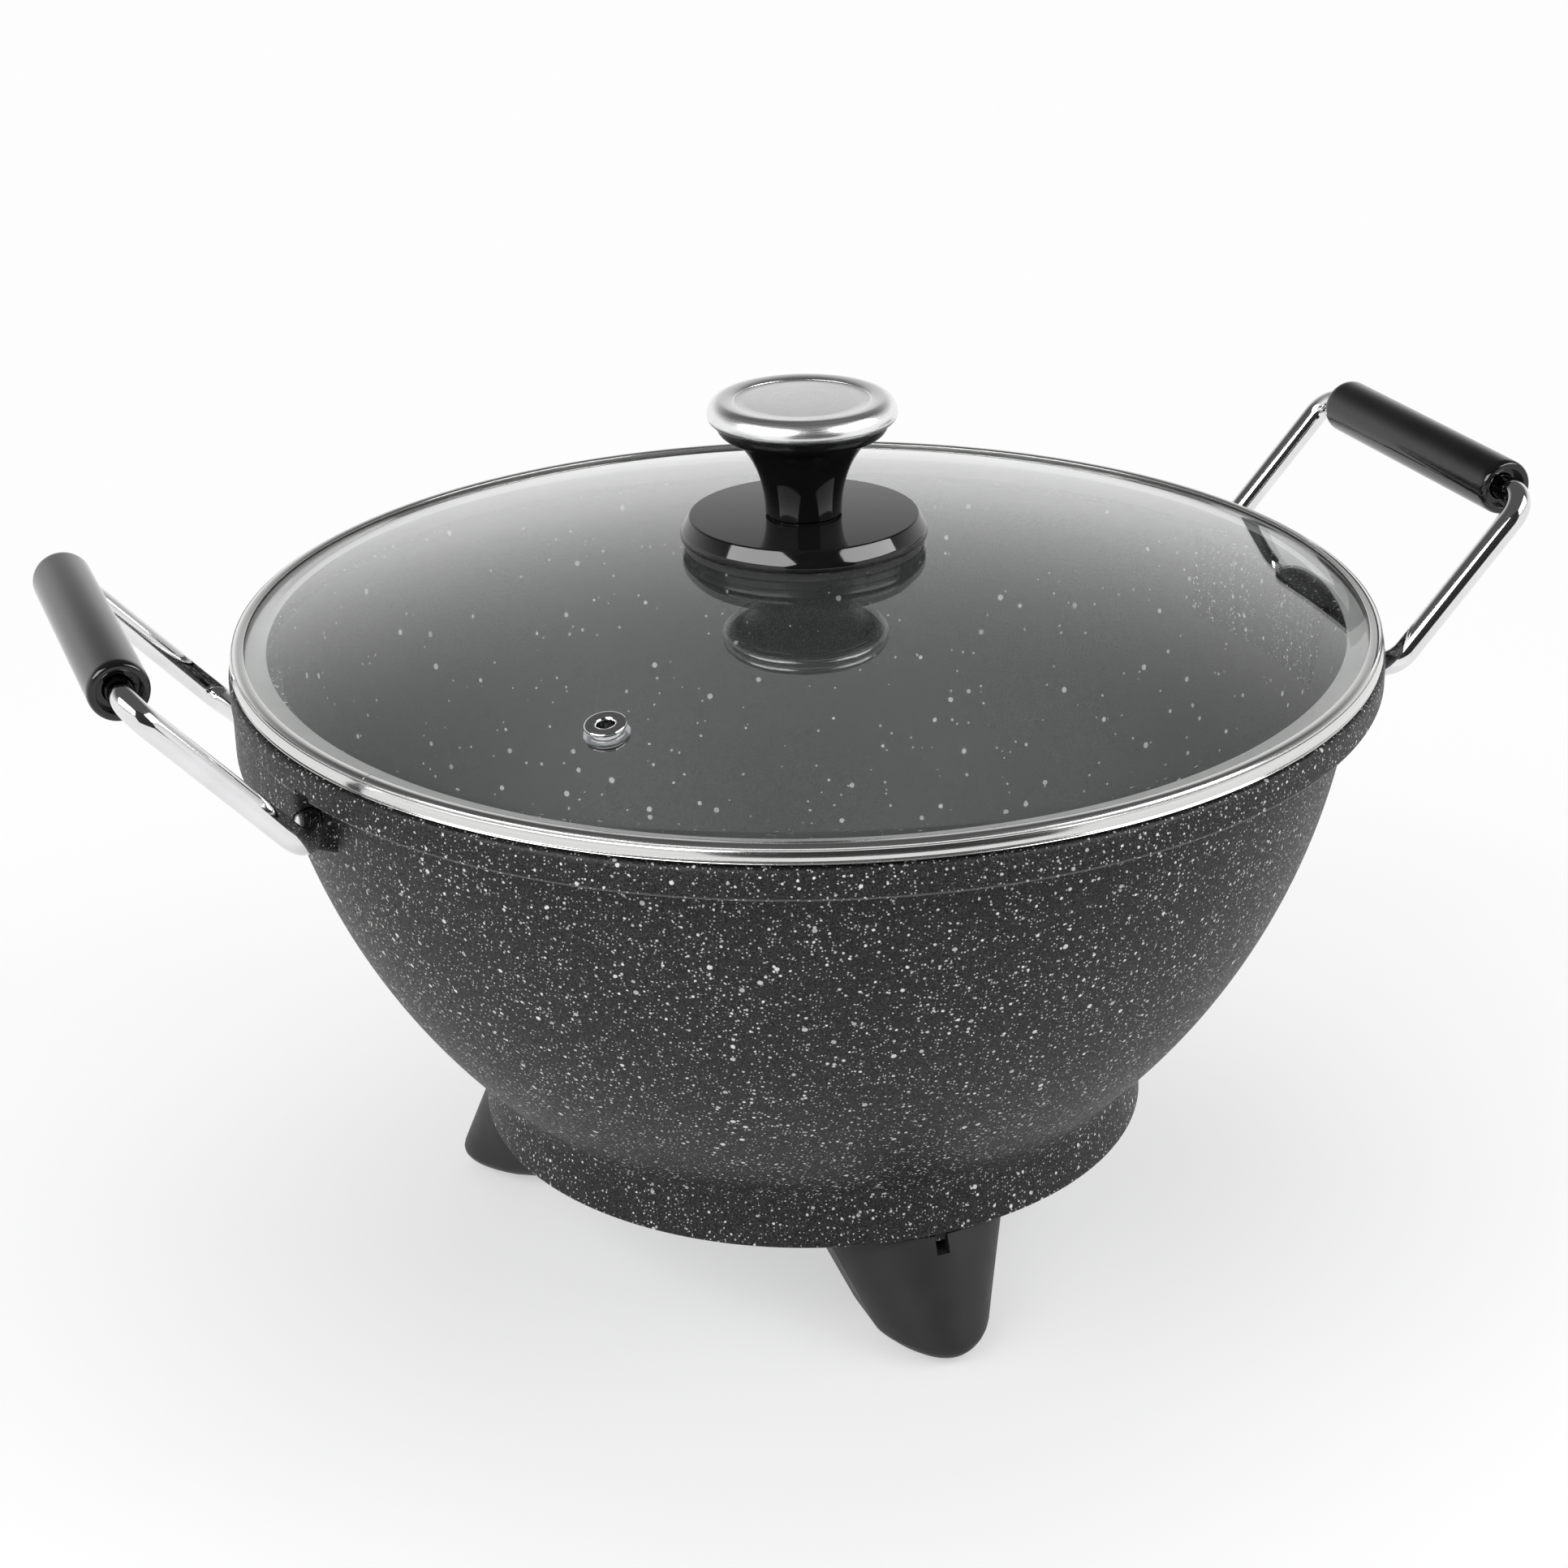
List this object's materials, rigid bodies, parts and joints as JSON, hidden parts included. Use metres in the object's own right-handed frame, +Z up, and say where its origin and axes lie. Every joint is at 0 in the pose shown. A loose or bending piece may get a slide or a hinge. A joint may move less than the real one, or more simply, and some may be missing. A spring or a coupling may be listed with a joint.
{
  "type": "electric wok",
  "caption": "Cast bowl on moulded legs with a speckled coating, bent rod handles with tube grips, a domed glass lid with a steel rim and knob, and an inlet for a detachable plug",
  "frame": {"origin": "On the floor, under the bowl's axis", "axes": "+Z up. The bowl's axis is Z, the handles lie along X, and the inlet faces +Y"},
  "size_m": [0.4622, 0.3612, 0.2768],
  "materials": {
    "speckled_coating": "dark non-stick coating with pale flecks",
    "gloss_black": "glossy black phenolic",
    "satin_black": "satin black phenolic",
    "chrome": "bright chrome",
    "polished_steel": "polished stainless steel",
    "brushed_steel": "brushed stainless steel",
    "zinc_steel": "zinc-plated steel",
    "glass": "clear tempered glass",
    "silicone": "pale translucent silicone",
    "rubber": "black rubber",
    "ceramic": "glazed ceramic",
    "sheath": "oxidised steel sheath"
  },
  "bodies": {
    "cooker": {"bowl": "speckled_coating", "left_handle_rod": "chrome", "right_handle_rod": "chrome", "bottom_cover": "zinc_steel", "heating_element": "sheath", "element_clamp_plate": "zinc_steel", "terminal_pin_left": "chrome", "terminal_pin_right": "chrome", "pin_insulator_left": "ceramic", "pin_insulator_right": "ceramic", "thermostat_probe_sleeve": "zinc_steel", "connector_guard": "satin_black", "guard_screw_left": "zinc_steel", "guard_screw_right": "zinc_steel", "earth_contact": "zinc_steel", "leg_front": "satin_black", "leg_screw_front": "zinc_steel", "clamp_screw_front": "zinc_steel", "foot_pad_front": "rubber", "leg_rear_left": "satin_black", "leg_screw_rear_left": "zinc_steel", "clamp_screw_rear_left": "zinc_steel", "foot_pad_rear_left": "rubber", "leg_rear_right": "satin_black", "leg_screw_rear_right": "zinc_steel", "clamp_screw_rear_right": "zinc_steel", "foot_pad_rear_right": "rubber"},
    "lid": {"lid_glass": "glass", "lid_rim": "polished_steel", "steam_vent": "chrome", "vent_washer": "zinc_steel", "knob_gasket": "silicone", "knob_base": "gloss_black", "knob_stem": "gloss_black", "knob_cap": "brushed_steel", "knob_seal": "silicone", "knob_washer": "zinc_steel", "knob_screw": "zinc_steel"},
    "left_grip": {"left_grip": "gloss_black"},
    "right_grip": {"right_grip": "gloss_black"}
  },
  "joints": [
    {"name": "lid_lift", "type": "slide", "parent": "cooker", "child": "lid", "axis": [0, 0, 1], "range_m": [0, 0.15]},
    {"name": "left_grip_turn", "type": "hinge", "parent": "cooker", "child": "left_grip", "pos_m": [-0.2221, 0, 0.233], "axis": [0, 1, 0], "continuous": true},
    {"name": "right_grip_turn", "type": "hinge", "parent": "cooker", "child": "right_grip", "pos_m": [0.2221, 0, 0.233], "axis": [0, 1, 0], "continuous": true}
  ]
}
